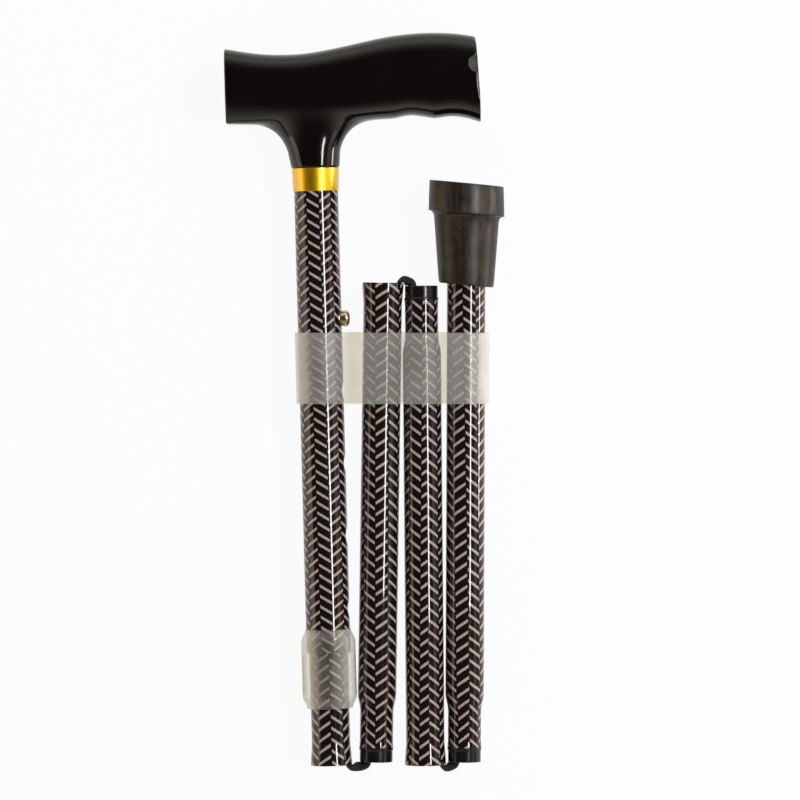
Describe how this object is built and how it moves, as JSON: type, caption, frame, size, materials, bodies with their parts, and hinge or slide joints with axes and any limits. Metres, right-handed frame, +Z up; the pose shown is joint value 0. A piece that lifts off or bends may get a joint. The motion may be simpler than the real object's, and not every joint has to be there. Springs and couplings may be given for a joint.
{
  "type": "folding cane",
  "caption": "Folding walking cane with a moulded T handle, height button, lock sleeve, printed tube sections linked by an elastic cord, rubber tip and a holding strap, shown folded.",
  "frame": {"origin": "on the floor under the middle of the folded cane's bounding box", "axes": "+X to the right across the folded sections, +Y along the tubes towards the handle, +Z up"},
  "size_m": [0.1157, 0.3055, 0.0316],
  "materials": {
    "handle_plastic": "gloss black moulded plastic",
    "ring_gold": "gold anodised",
    "printed_tube": "printed grey herringbone on black under clear gloss",
    "sleeve_plastic": "milky translucent plastic",
    "button_metal": "nickel plated",
    "spring_steel": "bare steel",
    "anchor_plastic": "natural moulded plastic",
    "elastic_cord": "black braided cover over elastic",
    "cap_plastic": "semi-gloss black plastic",
    "tip_rubber": "dull moulded rubber",
    "strap_vinyl": "milky translucent vinyl"
  },
  "bodies": {
    "upper_section": {"handle_grip": "handle_plastic", "handle_ring": "ring_gold", "upper_tube": "printed_tube"},
    "lock_sleeve": {"lock_sleeve": "sleeve_plastic"},
    "height_tube": {"section_1_tube": "printed_tube", "button_spring": "spring_steel", "cord_anchor_upper": "anchor_plastic", "cord_knot_upper": "elastic_cord", "cord_1": "elastic_cord"},
    "snap_button": {"snap_button": "button_metal"},
    "cord_link_12": {"fold_cord_12": "elastic_cord"},
    "section_2": {"section_2_tube": "printed_tube", "section_2_cap": "cap_plastic", "cord_2": "elastic_cord"},
    "cord_link_23": {"fold_cord_23": "elastic_cord"},
    "section_3": {"section_3_tube": "printed_tube", "section_3_cap": "cap_plastic", "cord_3": "elastic_cord"},
    "cord_link_34": {"fold_cord_34": "elastic_cord"},
    "section_4": {"section_4_tube": "printed_tube", "section_4_cap": "cap_plastic", "cord_4": "elastic_cord", "cord_anchor_lower": "anchor_plastic", "cord_knot_lower": "elastic_cord", "rubber_tip": "tip_rubber", "tip_washer": "spring_steel"},
    "strap": {"holding_strap": "strap_vinyl"}
  },
  "joints": [
    {"name": "height_slide", "type": "slide", "parent": "upper_section", "child": "height_tube", "axis": [0.0269, -0.9994, -0.0231], "range_m": [0, 0.12], "deforming": ["snap_button", "button_spring"]},
    {"name": "button_press", "type": "slide", "parent": "height_tube", "child": "snap_button", "axis": [-0.9996, -0.0269, -0.0006], "range_m": [0, 0.0045], "stiffness_N_per_m": 1500},
    {"name": "sleeve_slide", "type": "slide", "parent": "upper_section", "child": "lock_sleeve", "axis": [0.0269, -0.9994, -0.0231], "range_m": [0, 0.0115]},
    {"name": "strap_slide", "type": "slide", "parent": "upper_section", "child": "strap", "axis": [0, -0.9997, -0.0231], "range_m": [0, 0.09]},
    {"name": "insert_12", "type": "slide", "parent": "height_tube", "child": "cord_link_12", "axis": [-0.0269, 0.9994, 0.0231], "range_m": [0, 0.0226], "deforming": ["cord_1"]},
    {"name": "fold_12", "type": "hinge", "parent": "cord_link_12", "child": "section_2", "pos_m": [-0.00477, -0.14905, 0.01055], "axis": [0, 0.0231, -0.9997], "range_deg": [0, 177.62], "deforming": ["fold_cord_12", "holding_strap"]},
    {"name": "insert_23", "type": "slide", "parent": "section_2", "child": "cord_link_23", "axis": [-0.0147, -0.9996, -0.0231], "range_m": [0, 0.0226], "deforming": ["cord_2"]},
    {"name": "fold_23", "type": "hinge", "parent": "cord_link_23", "child": "section_3", "pos_m": [0.01519, 0.05022, 0.01515], "axis": [0, -0.0231, 0.9997], "range_deg": [0, 178.64], "deforming": ["fold_cord_23"]},
    {"name": "insert_34", "type": "slide", "parent": "section_3", "child": "cord_link_34", "axis": [-0.0091, 0.9997, 0.0231], "range_m": [0, 0.0226], "deforming": ["cord_3"]},
    {"name": "fold_34", "type": "hinge", "parent": "cord_link_34", "child": "section_4", "pos_m": [0.03289, -0.14917, 0.01054], "axis": [0, 0.0231, -0.9997], "range_deg": [0, 179.27], "deforming": ["fold_cord_34"]}
  ],
  "couplings": [
    {"joint": "insert_23", "follows": "insert_12", "ratio": 1},
    {"joint": "insert_34", "follows": "insert_12", "ratio": 1},
    {"joint": "fold_23", "follows": "fold_12", "ratio": 1.0057},
    {"joint": "fold_34", "follows": "fold_12", "ratio": 1.0093}
  ]
}
